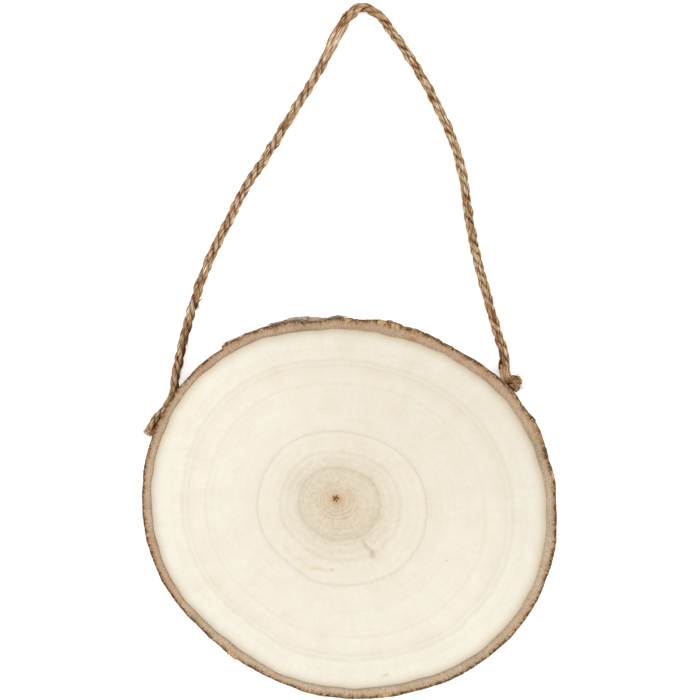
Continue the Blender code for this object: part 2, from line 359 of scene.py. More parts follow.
wood = make_piece("wood_slice_wood", *make_wood(), [sanded_wood])
wood.data.set_sharp_from_angle(angle=math.radians(50))
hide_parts("wood_slice")

# Bark of the branch
# Rough dry bark, 3 to 6 mm thick, left on when the branch was sawn. Its cut edge shows a green-grey inner
# line, tan inner bark and a speckled brown outer layer. Its outside has furrows along the branch and lifted
# flakes.

# The bark's edge on the front face: places in degrees counter-clockwise from +X, and mm from the pith. They
# lie closer on the right and at the top, where the bark is lumpy.
RIM = (
    *((0, 104.8), (5, 104.8), (10, 102.9), (15, 102.5), (20, 101.5), (25, 99.2), (30, 98.6), (40, 94.7)),
    *((50, 91.1), (55, 89.6), (60, 89.5), (70, 87.7), (75, 87.8), (80, 86.6), (85, 86.0), (90, 86.6)),
    *((95, 86.2), (100, 87.5), (105, 88.9), (110, 89.2), (120, 90.5), (135, 92.5), (150, 93.8), (165, 94.3)),
    *((180, 94.2), (200, 93.8), (215, 92.4), (225, 91.2), (235, 91.5), (250, 92.9), (265, 96.0), (280, 98.7)),
    *((295, 102.1), (310, 105.8), (320, 107.4), (330, 108.5), (340, 108.0), (350, 107.2), (355, 105.6)),
)
# Ridges that run along the branch: how many there are round it, their height and where they start
BARK_RIDGES = ((19, 0.00009, 0.4), (31, 0.00009, 2.1), (53, 0.00008, 4.4))
RIDGE_TWIST = 1.6
# Flakes: first and last angle in degrees, low and high edge as shares of the thickness, lift at each angle
FLAKES = (
    (8.0, 15.0, 0.0, 0.9, 0.0003, 0.0001),
    (17.0, 26.0, 0.0, 1.0, 0.0002, 0.0005),
    (62.0, 74.0, 0.0, 0.7, 0.0002, 0.0008),
    (86.0, 93.5, 0.0, 0.9, 0.0007, 0.0003),
    (96.0, 110.5, 0.0, 0.8, 0.0007, 0.0004),
    (111.5, 127.0, 0.0, 1.0, 0.0002, 0.0011),
    (172.0, 184.0, 0.1, 0.8, 0.0002, 0.0005),
    (204.0, 213.0, 0.0, 0.6, 0.0006, 0.0002),
    (233.0, 238.0, 0.2, 1.0, 0.0003, 0.0008),
    (262.0, 277.0, 0.0, 0.7, 0.0005, 0.0002),
    (298.0, 306.0, 0.2, 1.0, 0.0002, 0.0004),
    (331.0, 345.0, 0.0, 0.8, 0.0002, 0.0004),
)
# Where the staples sit round the pith, in degrees, and how far in each has crushed the bark
STAPLE_HEIGHT = 0.0048
CRUSHED = ((150.0, 0.0022), (35.6, 0.0))
CRUSHED_WIDTH = 9.0
CRUSHED_HEIGHT = 0.0055
# Yellow lichen crusts and bare orange patches: middle in degrees, half width in degrees, middle and half
# height as shares of the thickness
LICHEN = (
    *((86.1, 2.2, 0.95, 0.35), (75.6, 1.7, 0.98, 0.30), (71.2, 2.1, 1.00, 0.30), (6.2, 1.8, 1.00, 0.35)),
    *((236.4, 2.6, 1.00, 0.30), (284.2, 1.4, 1.00, 0.25), (262.0, 2.2, 0.35, 0.25), (196.0, 2.6, 0.40, 0.22)),
    (318.0, 2.4, 0.45, 0.25),
)
BARE = (
    *((16.4, 2.6, 1.00, 0.30), (19.5, 1.6, 1.00, 0.25), (65.2, 1.3, 1.00, 0.30), (68.0, 1.0, 1.00, 0.25)),
    *((167.0, 4.2, 0.90, 0.24), (239.0, 1.5, 1.0, 0.3), (263.3, 1.6, 1.0, 0.30), (290.0, 2.0, 0.60, 0.25)),
    *((41.0, 1.3, 1.00, 0.30), (53.0, 1.4, 1.0, 0.25), (120.0, 1.6, 1.0, 0.25), (140.0, 3.0, 0.40, 0.25)),
)
BARK_COLUMNS = 2 * WOOD_COLUMNS


def hump(distance, half_width):
    """1 in the middle, falling smoothly to 0 at half_width from it."""
    return np.where(np.abs(distance) < half_width, np.cos(0.5 * math.pi * distance / half_width) ** 2, 0.0)


def patch(degrees, share_up, patches):
    """1 inside any of the patches and 0 outside them, with wide soft edges that the material breaks up."""
    found = np.zeros_like(degrees)
    for middle, half_width, middle_up, half_up in patches:
        across = ((degrees - middle + 180) % 360 - 180) / half_width
        up = (share_up - middle_up) / half_up
        found = np.maximum(found, smooth(np.hypot(across, up), 1.3, 0.4))
    return found


def on_flake(degrees, share_up, first, last, low, high):
    """Where a flake lies on the side. Its edges wander, but not at the front, where the photo shows them."""
    down = 1 - share_up
    wander = down * (1.2 * np.sin(7 * down + first) + 0.7 * np.sin(19 * down + last))
    ragged = (high < 1) * (0.05 * np.sin(1.3 * degrees + first) + 0.04 * np.sin(3.1 * degrees))
    across = (degrees + wander >= first) & (degrees + wander <= last)
    return across & (share_up >= low - 0.01) & (share_up <= high + 0.01 + ragged)


def bark_relief(angle, height):
    """How far the bark stands out: its ridges and flakes, less what the staples have crushed."""
    degrees = np.degrees(angle) % 360
    share_up = height / THICKNESS
    relief = np.zeros_like(angle)
    for count, size, start in BARK_RIDGES:
        relief += size * np.sin(count * angle + start + RIDGE_TWIST * share_up)
    for first, last, low, high, first_lift, last_lift in FLAKES:
        lift = first_lift + (last_lift - first_lift) * np.clip((degrees - first) / (last - first), 0, 1)
        relief += on_flake(degrees, share_up, first, last, low, high) * lift
    for staple_angle, crushed in CRUSHED:
        across = hump(degrees - staple_angle, CRUSHED_WIDTH)
        relief -= crushed * across * hump(height - STAPLE_HEIGHT, CRUSHED_HEIGHT)
    return relief


def fuller(angle, height):
    """How much the bark stands out near its front edge on the sides where the lean would show its outside."""
    leans_out = np.maximum(0, LEAN[0] * np.cos(angle) + LEAN[1] * np.sin(angle))
    # The loose grey skin at the top has taken the full layer under it away
    loose_top = hump(np.degrees(angle) % 360 - 101, 14)
    return 0.80 * (1 - loose_top) * THICKNESS * leans_out * (height / THICKNESS) ** 2


def rolled(angle, along):
    """Places on a true cylinder of 0.1 m radius, so that a pattern runs round the branch without a seam."""
    return np.stack([0.1 * np.cos(angle), 0.1 * np.sin(angle), along], axis=-1)


def furrows(angle, height, bridged=False):
    """Fine furrows and plates of dry bark, longer along the branch than round it, and its grain.

    A loose flake bridges the furrows and follows only the plates.
    """
    drawn_out = rolled(angle, 0.35 * height)
    deeper_low = 1.35 - height / THICKNESS
    if bridged:
        return 0.00018 * deeper_low * bumps(drawn_out, 0.0034, 1)
    plates = bumps(drawn_out, 0.0034, 3)
    cracks = np.abs(bumps(drawn_out + 0.5, 0.0052, 2))
    grains = bumps(rolled(angle, height), 0.0009, 2)
    return deeper_low * (0.00022 * plates - 0.00034 * smooth(cracks, 0.16, 0.0)) + 0.00009 * grains


def bark_radius(angle, height, bridged=False):
    """From the pith's axis to the outside of the bark."""
    rim = 0.001 * around(*np.array(RIM).T, angle)
    fine_shape = furrows(angle, height, bridged) + fuller(angle, height)
    return rim + bark_relief(angle, height) + fine_shape


def make_bark():
    """The bark as one closed ring: its cut face, its outside, its cut back, and the wall that meets the wood."""
    angle = math.tau * np.arange(BARK_COLUMNS) / BARK_COLUMNS
    degrees = np.degrees(angle)
    # The wood's edge is straight between its own points, and the bark's inner wall follows it exactly
    edge = wood_radius(angle[::2])[:, None] * np.stack([np.cos(angle[::2]), np.sin(angle[::2])], axis=-1)
    inner_edge = np.empty((BARK_COLUMNS, 2))
    inner_edge[::2] = edge
    inner_edge[1::2] = 0.5 * (edge + np.roll(edge, -1, axis=0))
    inner = np.hypot(*inner_edge.T)
    inner_angle = angle.copy()
    inner_angle[1::2] = np.arctan2(inner_edge[1::2, 1], inner_edge[1::2, 0]) % math.tau

    layers = np.array([0.0, 0.08, 0.18, 0.30, 0.44, 0.58, 0.72, 0.84, 0.93])
    side_shares = np.concatenate([[1.0, 0.985, 0.96], np.linspace(0.92, 0.06, 17), [0.03, 0.0]])
    rows = [("cut", layer, 1.0) for layer in layers]
    rows += [("side", 1.0, share) for share in side_shares]
    rows += [("cut", layer, 0.0) for layer in layers[::-2]]
    points = []
    values = {name: [] for name in ("layer", "bark_place", "stand_out", "lichen", "bare", "skin")}
    for kind, layer, share_up in rows:
        height = THICKNESS * share_up + 0 * angle
        outer = bark_radius(angle, height)
        blend_in = min(1.0, 8 * layer)
        radius = inner + (outer - inner) * layer
        row_points = place_round(radius, inner_angle * (1 - blend_in) + angle * blend_in, height)
        # Sawing leaves the corky outer layers a little rough and chipped
        if kind == "cut" and layer > 0.05:
            dip = 0.00003 + 0.00010 * smooth(layer, 0.3, 1.0)
            rough = dip * bumps(row_points + share_up, 0.0011, 2) - 0.6 * dip
            row_points[:, 2] += rough * (1 if share_up > 0.5 else -1)
        if kind == "side" and share_up in (1.0, 0.0):
            chipped = 0.00022 * np.abs(bumps(row_points, 0.0016, 2))
            row_points[:, 2] += chipped * (-1 if share_up > 0.5 else 1)
        row_points[:, 2] = np.maximum(row_points[:, 2], 0.0)
        points.append(row_points)
        bark_place = rolled(angle, radius if kind == "cut" else height)
        reach_in = 0.66 + 0.18 * bumps(bark_place, 0.0017, 2)
        skin = np.zeros_like(angle)
        for first, last, low, high, first_lift, last_lift in FLAKES:
            loose = smooth(max(first_lift, last_lift), 0.0004, 0.0012)
            skin = np.maximum(skin, on_flake(degrees, share_up, first, last, low, high) * loose)
        values["layer"].append(layer + 0 * angle)
        values["bark_place"].append(bark_place)
        values["stand_out"].append(bark_relief(angle, height) + furrows(angle, height))
        values["lichen"].append(patch(degrees, share_up, LICHEN) * smooth(layer - reach_in, -0.10, 0.10))
        values["bare"].append(patch(degrees, share_up, BARE) * smooth(layer - reach_in, -0.16, 0.10))
        values["skin"].append(skin)

    faces = grid_faces(len(rows), BARK_COLUMNS, closed_rows=True)
    # The outside's faces lie between its first row and its last
    is_side = np.zeros(len(rows), dtype=int)
    is_side[len(layers) : len(layers) + len(side_shares) - 1] = 1
    values = {name: np.concatenate(value) for name, value in values.items()}
    return np.concatenate(points), faces, values, np.repeat(is_side, BARK_COLUMNS)


# Cut bark: a dark green-grey line at the wood, tan inner bark with fine radial streaks, and brown corky
# layers with dark specks outside it. Matt and open, so it has no shine.
cut_bark, tree, shader = new_material("sawn_bark")
bark_place = add(tree, "Attribute", out="Vector", attribute_name="bark_place")
layer = add(tree, "Attribute", out="Fac", attribute_name="layer")
place = add(tree, "TexCoord", out="Object")
wavy = add(tree, "TexNoise", {"Vector": place, "Scale": 250.0, "Detail": 4.0})
wavy = add(tree, "MapRange", {0: wavy, 3: -0.30, 4: 0.30})
wavy_layer = add(tree, "Math", {0: layer, 1: wavy}, operation="ADD")
# The layers keep still at the wood, where the line is sharp
steady = add(tree, "MapRange", {0: layer, 1: 0.15, 2: 0.60})
depth_in = add(tree, "Mix", {0: steady, 2: layer, 3: wavy_layer})
LAYER_TONES = (
    *((0.00, "#BBAA8A"), (0.03, "#9A8C71"), (0.09, "#AF9F86"), (0.20, "#C3B099"), (0.42, "#CEB89D")),
    *((0.60, "#C8AE90"), (0.73, "#BB9975"), (0.81, "#9E7A54"), (0.88, "#6F4C2E"), (0.94, "#432F1E")),
    (1.00, "#322418"),
)
colour = add(tree, "ValToRGB", {0: depth_in}, stops=LAYER_TONES)
# On the +X side the inner bark is a paler grey
grey_side = on_side(tree, bark_place, (9.98, -0.6, 0.0), 0.88, 0.99, 0.75, **SMOOTHLY)
grey_band = add(tree, "MapRange", {0: wavy_layer, 1: 0.68, 2: 0.36}, **SMOOTHLY)
grey_side = add(tree, "Math", {0: grey_side, 1: grey_band}, operation="MULTIPLY")
# The green-grey line fades to tan where the branch was in the sun, towards +X, and in stretches elsewhere
stretch = add(tree, "TexNoise", {"Vector": place, "Scale": 52.0, "Detail": 2.0})
sunny = add(tree, "VectorMath", {0: bark_place, 1: (8.5, 4.0, 0.0)}, "Value", operation="DOT_PRODUCT")
sunny = add(tree, "Math", {0: stretch, 1: 2.6, 2: sunny}, operation="MULTIPLY_ADD")
sunny = add(tree, "MapRange", {0: sunny, 1: 1.2, 2: 2.2, 4: 0.9}, **SMOOTHLY)
at_the_wood = add(tree, "MapRange", {0: layer, 1: 0.0, 2: 0.32, 3: 1.0, 4: 0.0}, **SMOOTHLY)
sunny = add(tree, "Math", {0: sunny, 1: at_the_wood}, operation="MULTIPLY")
# Rain ran down the upper side and has browned its bark, and the lower side has stayed pale
rained_on = on_side(tree, bark_place, (2.5, 9.7, 0.0), -1.0, 1.0, 1.0)
# Radial streaks of about 0.5 mm: the rays of the wood run on through the inner bark
streak_place = add(tree, "Mapping", {"Vector": bark_place, "Scale": (2000, 2000, 260)})
streaks = blotches(tree, streak_place, 1.0, 0.48, 0.74, 0.34)
# A grain of about 0.6 mm all over it, pale stone cells and darker cork
grain_place = add(tree, "Mapping", {"Vector": bark_place, "Scale": (1700, 1700, 1500)})
grain = add(tree, "TexNoise", {"Vector": grain_place, "Scale": 1.0, "Detail": 2.0})
dark_grain = add(tree, "MapRange", {0: grain, 1: 0.50, 2: 0.70, 4: 0.38})
pale_grain = add(tree, "MapRange", {0: grain, 1: 0.50, 2: 0.32, 4: 0.34})
# Specks of dark cork, 0.5 to 1 mm across, which crowd towards the outside, and orange stone cells between
# them
specks = add(tree, "Mapping", {"Vector": bark_place, "Scale": (760, 760, 640)})
specks = add(tree, "TexNoise", {"Vector": specks, "Scale": 1.0, "Detail": 4.0, "Roughness": 0.7})
crowding = add(tree, "MapRange", {0: layer, 1: 0.30, 2: 0.95, 3: -0.13, 4: 0.08})
dark_specks = add(tree, "Math", {0: specks, 1: crowding}, operation="ADD")
dark_specks = add(tree, "MapRange", {0: dark_specks, 1: 0.53, 2: 0.65, 4: 0.80})
pale_specks = add(tree, "Math", {0: crowding, 1: specks}, operation="SUBTRACT")
pale_specks = add(tree, "MapRange", {0: pale_specks, 1: -0.44, 2: -0.32, 4: 0.75})
# Some stretches are redder or greener than others, over 2 or 3 cm
redder = add(tree, "MapRange", {0: stretch, 1: 0.52, 2: 0.72, 4: 0.55})
greener = add(tree, "MapRange", {0: stretch, 1: 0.47, 2: 0.28, 4: 0.45})
bare_share = add(tree, "Attribute", out="Fac", attribute_name="bare")
bare_share = add(tree, "Math", {0: bare_share, 1: 0.9, 2: specks}, operation="MULTIPLY_ADD")
bare_share = add(tree, "MapRange", {0: bare_share, 1: 1.28, 2: 1.52, 4: 0.85})
grains = add(tree, "TexNoise", {"Vector": place, "Scale": 900.0, "Detail": 3.0})
lichen = add(tree, "Attribute", out="Fac", attribute_name="lichen")
lichen = add(tree, "Math", {0: lichen, 1: 0.9, 2: grains}, operation="MULTIPLY_ADD")
lichen = add(tree, "MapRange", {0: lichen, 1: 1.12, 2: 1.42, 4: 0.85})
for how, share, coat in (
    ("MIX", grey_side, "#CFC3AD"),
    ("MIX", sunny, "#C9B193"),
    ("MULTIPLY", rained_on, "#EBE1DA"),
    ("MULTIPLY", streaks, "#B79A80"),
    ("MULTIPLY", dark_grain, "#A37F60"),
    ("MIX", pale_grain, "#E0CBAE"),
    ("MIX", dark_specks, "#5E3F25"),
    ("MIX", pale_specks, "#D2AC80"),
    ("MULTIPLY", redder, "#E8BE9C"),
    ("MULTIPLY", greener, "#CFCDB4"),
    ("MIX", bare_share, "#C38C50"),
    ("MIX", lichen, "#D3B67A"),
):
    colour = add(tree, "Mix", {0: share, 6: colour, 7: coat}, 2, data_type="RGBA", blend_type=how)
relief = add(tree, "Math", {0: dark_specks, 1: streaks}, operation="ADD")
relief = add(tree, "Bump", {"Height": relief, "Strength": 0.7, "Distance": 0.00018}, invert=True)
plug(tree, shader, {"Base Color": colour, "Normal": relief, "Roughness": 0.88, "Specular IOR Level": 0.2})

# Outer bark: weathered grey-brown ridges, dark furrows, paler grey loose skin, orange where a scale has
# come off, and crusts of yellow lichen. Dry and dull.
outer_bark, tree, shader = new_material("weathered_bark")
bark_place = add(tree, "Attribute", out="Vector", attribute_name="bark_place")
place = add(tree, "TexCoord", out="Object")
stand_out = add(tree, "Attribute", out="Fac", attribute_name="stand_out")
worn = add(tree, "MapRange", {0: stand_out, 1: -0.0007, 2: 0.0010})
# Fibres run along the branch, about 0.6 mm wide and several times as long
fibre = add(tree, "Mapping", {"Vector": bark_place, "Scale": (1500, 1500, 320)})
fibre = add(tree, "TexNoise", {"Vector": fibre, "Scale": 1.0, "Detail": 4.0, "Roughness": 0.6})
bark_height = add(tree, "Math", {0: fibre, 1: 0.85, 2: worn}, operation="MULTIPLY_ADD")
BARK_TONES = ((0.42, "#2C1F15"), (0.62, "#4D3726"), (0.80, "#6F543C"), (0.98, "#8A6E53"), (1.00, "#94795E"))
colour = add(tree, "ValToRGB", {0: bark_height}, stops=BARK_TONES)
patches = add(tree, "TexNoise", {"Vector": place, "Scale": 105.0, "Detail": 3.0})
reddish = add(tree, "MapRange", {0: patches, 1: 0.50, 2: 0.66, 4: 0.65})
greyish = add(tree, "MapRange", {0: patches, 1: 0.46, 2: 0.32, 4: 0.55})
skin = add(tree, "Attribute", out="Fac", attribute_name="skin")
skin = add(tree, "Math", {0: skin, 1: fibre}, operation="MULTIPLY")
skin = add(tree, "MapRange", {0: skin, 1: 0.34, 2: 0.66, 4: 0.70})
# The bark beside the loose skin at the top is paler: bleached with it, and painted light for its sideways faces
AT_THE_TOP = (-2.5, 9.7, 0.0)
bleach_and_painted_light = on_side(tree, bark_place, AT_THE_TOP, 0.955, 0.985, 0.7)
bleach_and_painted_light = add(tree, "Math", {0: bleach_and_painted_light, 1: fibre}, operation="MULTIPLY")
# A bare patch is broken into lumps of 3 mm and by the fibres
lumps = add(tree, "TexNoise", {"Vector": place, "Scale": 330.0, "Detail": 2.0})
lumps = add(tree, "Math", {0: lumps, 1: 0.8}, operation="MULTIPLY")
bare_share = add(tree, "Attribute", out="Fac", attribute_name="bare")
bare_share = add(tree, "Math", {0: bare_share, 1: 0.6, 2: lumps}, operation="MULTIPLY_ADD")
bare_share = add(tree, "Math", {0: fibre, 1: bare_share}, operation="ADD")
bare_share = add(tree, "MapRange", {0: bare_share, 1: 1.34, 2: 1.56, 4: 0.80})
bare_tone = add(tree, "ValToRGB", {0: fibre}, stops=((0.32, "#86542C"), (0.66, "#C48C56")))
# Lichen is a crust of grains under 1 mm across, broken at its edges
crumbs = add(tree, "TexNoise", {"Vector": place, "Scale": 900.0, "Detail": 3.0})
lichen = add(tree, "Attribute", out="Fac", attribute_name="lichen")
lichen = add(tree, "Math", {0: lichen, 1: 0.7, 2: lumps}, operation="MULTIPLY_ADD")
lichen = add(tree, "Math", {0: crumbs, 1: lichen}, operation="ADD")
lichen = add(tree, "MapRange", {0: lichen, 1: 1.34, 2: 1.50})
LICHEN_TONES = ((0.35, "#8E713E"), (0.55, "#B89A60"), (0.72, "#D2BE90"))
lichen_tone = add(tree, "ValToRGB", {0: crumbs}, stops=LICHEN_TONES)
for how, share, coat in (
    ("MULTIPLY", reddish, "#E0A882"),
    ("MIX", greyish, "#8C8172"),
    ("MIX", skin, "#B0A59A"),
    ("MIX", bleach_and_painted_light, "#D8CBBA"),
    ("MIX", bare_share, bare_tone),
    ("MIX", lichen, lichen_tone),
):
    colour = add(tree, "Mix", {0: share, 6: colour, 7: coat}, 2, data_type="RGBA", blend_type=how)
relief = add(tree, "Bump", {"Height": bark_height, "Strength": 0.9, "Distance": 0.0003})
relief = add(tree, "Bump", {"Height": crumbs, "Normal": relief, "Strength": 0.5, "Distance": 0.00015})
plug(tree, shader, {"Base Color": colour, "Normal": relief, "Roughness": 0.9, "Specular IOR Level": 0.2})

*bark_mesh, side_faces = make_bark()
bark = make_piece("wood_slice_bark", *bark_mesh, [cut_bark, outer_bark], side_faces)
bark.data.set_sharp_from_angle(angle=math.radians(48))
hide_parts("wood_slice")

# Loose flakes of the bark's outermost skin
# Papery grey skin, about 0.3 mm thick, that has split off the bark and curls away from it at one edge. Each
# flake is still part of the bark where it holds on.

# First and last angle in degrees, low and high edge as shares of the thickness, lift in metres at the free
# edge
LOOSE_FLAKES = (
    (98.5, 105.5, 0.10, 1.00, 0.0003),
    (105.0, 112.0, 0.20, 0.99, 0.0002),
    (87.0, 94.4, 0.30, 1.00, 0.0002),
    (119.0, 127.2, 0.05, 0.95, 0.0002),
    (21.0, 23.0, 0.45, 1.00, 0.0002),
    (10.0, 13.0, 0.05, 0.55, 0.0004),
    (234.5, 237.5, 0.25, 0.98, 0.0003),
    (206.0, 211.5, 0.05, 0.60, 0.0007),
    (264.0, 270.0, 0.05, 0.62, 0.0007),
    (334.0, 341.0, 0.08, 0.48, 0.0003),
    (176.0, 183.0, 0.15, 0.72, 0.0006),
    (300.0, 305.0, 0.08, 0.55, 0.0006),
    (52.0, 56.0, 0.05, 0.50, 0.0004),
)
FLAKE_COLUMNS = 26
FLAKE_ROWS = 18
FLAKE_SKIN = 0.0003
# The inside of a flake keeps this far off the bark
FLAKE_GAP = 0.0002


def make_flake(first, last, low, high, lift, number):
    """One curled sheet with a ragged outline: its outside, then its inside, sewn together along the edge."""
    columns, rows = FLAKE_COLUMNS, FLAKE_ROWS
    across, up = np.meshgrid(np.linspace(0, 1, columns), np.linspace(0, 1, rows), indexing="ij")
    torn = []
    for edge_number, run in enumerate((up[0], up[0], across[:, 0], across[:, 0])):
        run = np.stack([5.5 * run, 3.3 * number + 0.7 * edge_number + 0 * run, 0 * run], axis=-1)
        torn.append(0.13 + 0.20 * bumps(run, 1.0, 3))
    left, right, bottom, top = torn
    narrow = left[None, :] + across * (1 - left - right)[None, :]
    short = np.clip(bottom[:, None] + up * (1 - bottom - top)[:, None], 0, 1)
    angle = np.radians(first + (last - first) * narrow).ravel()
    height = (THICKNESS * (low + (high - low) * short)).ravel()
    narrow = np.clip(narrow, 0, 1)
    curl = lift * (narrow**2 if number % 2 else (1 - narrow) ** 2) + 0.35 * lift * short**3
    base = bark_radius(angle, height, bridged=True) + FLAKE_GAP + curl.ravel()
    points = [place_round(base + outward, angle, height) for outward in (FLAKE_SKIN, 0.0)]
    faces = []
    inside = columns * rows
    for column in range(columns - 1):
        for row in range(rows - 1):
            corner = column * rows + row
            loop = [corner, corner + rows, corner + rows + 1, corner + 1]
            faces.append(loop)
            faces.append([inside + index for index in reversed(loop)])
    edge = list(range(rows))
    edge += [column * rows + rows - 1 for column in range(1, columns)]
    edge += [(columns - 1) * rows + row for row in range(rows - 2, -1, -1)]
    edge += [column * rows for column in range(columns - 2, 0, -1)]
    for here, there in zip(edge, edge[1:] + edge[:1]):
        faces.append([here, there, inside + there, inside + here])
    free = np.maximum(curl / lift, smooth(up, 0.85, 1.0)).ravel()
    return np.concatenate(points), faces, {"free": np.tile(free, 2)}


def joined(parts):
    """The points, faces and values of several closed meshes as those of one mesh."""
    points, faces, values = zip(*parts)
    starts = np.cumsum([0] + [len(part) for part in points]).tolist()
    faces = [[start + index for index in face] for start, part in zip(starts, faces) for face in part]
    values = {name: np.concatenate([part[name] for part in values]) for name in values[0]}
    return np.concatenate(points), faces, values


# Weathered bark skin: silver grey outside, bleached at the free edge and brown where it holds on
skin_material, tree, shader = new_material("grey_bark_skin")
place = add(tree, "TexCoord", out="Object")
free_edge = add(tree, "Attribute", out="Fac", attribute_name="free")
grain = add(tree, "Mapping", {"Vector": place, "Scale": (900, 900, 260)})
grain = add(tree, "TexNoise", {"Vector": grain, "Scale": 1.0, "Detail": 4.0})
weather = add(tree, "Math", {0: free_edge, 1: 0.15, 2: grain}, operation="MULTIPLY_ADD")
SKIN_TONES = ((0.32, "#6E5E4E"), (0.50, "#807060"), (0.68, "#918271"), (0.85, "#A99C8B"))
skin_tone = add(tree, "ValToRGB", {0: weather}, stops=SKIN_TONES)
# The skin at the top of the slice is paler, as is the bark beside it: bleached, and painted light for its
# sideways faces
bleach_and_painted_light = on_side(tree, place, AT_THE_TOP, 0.79, 0.86, 0.34)
colour = add(tree, "Mix", {0: bleach_and_painted_light, 6: skin_tone, 7: "#E2D6C6"}, 2, data_type="RGBA")
relief = add(tree, "Bump", {"Height": grain, "Strength": 0.45, "Distance": 0.00008})
plug(tree, shader, {"Base Color": colour, "Normal": relief, "Roughness": 0.85, "Specular IOR Level": 0.25})

flake_mesh = joined([make_flake(*flake, number) for number, flake in enumerate(LOOSE_FLAKES)])
flakes = make_piece("bark_flakes", *flake_mesh, [skin_material])
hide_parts("wood_slice")

# Jute cord
# One length of three-strand jute, twisted to the left, for hanging the slice. Each end is stapled to the
# bark's side and cut off just past the staple, and the top of the loop has come partly untwisted.

CORD_DIAMETER = 0.0048
# Places in millimetres (x, y, z), from the left cut end round the loop to the right one, and the width
# there as a share of the cord's
CORD_ROUTE = (
    (-98.5, 35.5, 3.0, 1.00),
    (-95.3, 42.1, 3.6, 1.00),
    (-91.5, 46.4, 4.3, 0.84),
    (-89.2, 49.2, 4.7, 0.68),
    (-87.3, 51.7, 4.9, 0.74),
    (-86.4, 56.1, 4.7, 0.90),
    (-85.9, 61.8, 4.2, 1.00),
    (-83.4, 74.3, 3.2, 1.00),
    (-80.4, 86.8, 2.7, 1.00),
    (-76.4, 100.3, 2.6, 1.00),
    (-71.4, 114.8, 2.6, 1.00),
    (-65.4, 128.3, 2.6, 1.00),
    (-58.9, 140.8, 2.6, 1.00),
    (-51.9, 154.8, 2.6, 1.00),
    (-42.4, 169.3, 2.6, 1.00),
    (-30.4, 188.8, 2.6, 1.00),
    (-18.9, 207.3, 2.6, 1.00),
    (-11.4, 220.8, 2.7, 1.05),
    (-5.4, 232.3, 3.0, 1.15),
    (-0.4, 240.3, 3.0, 1.15),
    (6.1, 243.8, 2.8, 1.05),
    (13.1, 240.8, 2.6, 1.00),
    (18.6, 234.3, 2.6, 1.00),
    (27.1, 222.3, 2.6, 1.00),
    (36.1, 207.8, 2.6, 1.00),
    (43.6, 193.3, 2.6, 1.00),
    (50.1, 178.8, 2.6, 1.00),
    (55.1, 161.3, 2.6, 1.00),
    (57.6, 143.3, 2.6, 1.00),
    (61.1, 124.8, 2.6, 1.00),
    (66.1, 105.3, 2.6, 1.00),
    (71.1, 87.3, 2.8, 1.00),
    (74.7, 75.8, 3.4, 1.06),
    (75.3, 69.6, 4.2, 1.12),
    (75.3, 64.4, 4.8, 1.12),
    (76.8, 61.3, 5.8, 1.30),
    (79.0, 60.1, 7.2, 1.50),
    (80.9, 59.8, 8.9, 1.60),
)
CORD_STEP = 0.0005
STRANDS = 3
STRAND_RADIUS = 0.00130
STRAND_OFFSET = 0.00103
STRAND_SIDES = 30
# One full turn of the strands takes this length of cord, and more where the top has come untwisted
LAY_LENGTH = 0.0178
LOOSE_MIDDLE = 0.216
LOOSE_HALF_LENGTH = 0.017
# Bunches of fibres: how many stand round a strand, how far out, how they wander and over what length in
# metres
BUNCHES = ((5, 0.060, 1.3, 0.011), (9, 0.055, 1.7, 0.007), (13, 0.030, 2.0, 0.0049))


def cord_line():
    """Points a small step apart along the smooth curve through the route, and the width share at each."""
    route = np.array(CORD_ROUTE) * (0.001, 0.001, 0.001, 1.0)
    route = np.concatenate([[2 * route[0] - route[1]], route, [2 * route[-1] - route[-2]]])
    fine = []
    for first in range(1, len(route) - 2):
        before, start, end, after = route[first - 1 : first + 3]
        for share in np.arange(20) / 20:
            straight = 2 * start + (end - before) * share
            bent = (2 * before - 5 * start + 4 * end - after) * share**2
            turned = (3 * start - before - 3 * end + after) * share**3
            fine.append(0.5 * (straight + bent + turned))
    fine = np.array([*fine, route[-2]])
    along = np.concatenate([[0], np.cumsum(np.linalg.norm(np.diff(fine[:, :3], axis=0), axis=1))])
    even = np.linspace(0, along[-1], int(along[-1] / CORD_STEP) + 1)
    return even, np.stack([np.interp(even, along, fine[:, axis]) for axis in range(4)], axis=-1)


def unit(vectors):
    return vectors / np.linalg.norm(vectors, axis=-1, keepdims=True)


cord_along, cord_route = cord_line()
cord_middle = cord_route[:, :3]
cord_width = cord_route[:, 3]
cord_length = cord_along[-1]
cord_forward = unit(np.gradient(cord_middle, axis=0))
cord_side = unit(np.cross((0.0, 0.0, 1.0), cord_forward))
cord_up = np.cross(cord_forward, cord_side)

# A staple presses the cord flat: narrow across the bark, and wider up and down
cord_upright = np.where(cord_width < 1, cord_width**0.3, cord_width)
cord_wide = cord_width[:, None] * cord_side
cord_high = cord_upright[:, None] * cord_up
loosened = hump(cord_along - LOOSE_MIDDLE, LOOSE_HALF_LENGTH)
uneven_lay = 1 + 0.08 * np.sin(cord_along / 0.019 + 0.7) + 0.05 * np.sin(cord_along / 0.0081)
turn_rate = uneven_lay * (1 - 0.75 * loosened) / LAY_LENGTH
# The lay runs down to the right as one looks at an upright cord, which is a left-handed turn along it
cord_turn = 0.9 - math.tau * np.concatenate([[0], np.cumsum(turn_rate[1:] * np.diff(cord_along))])


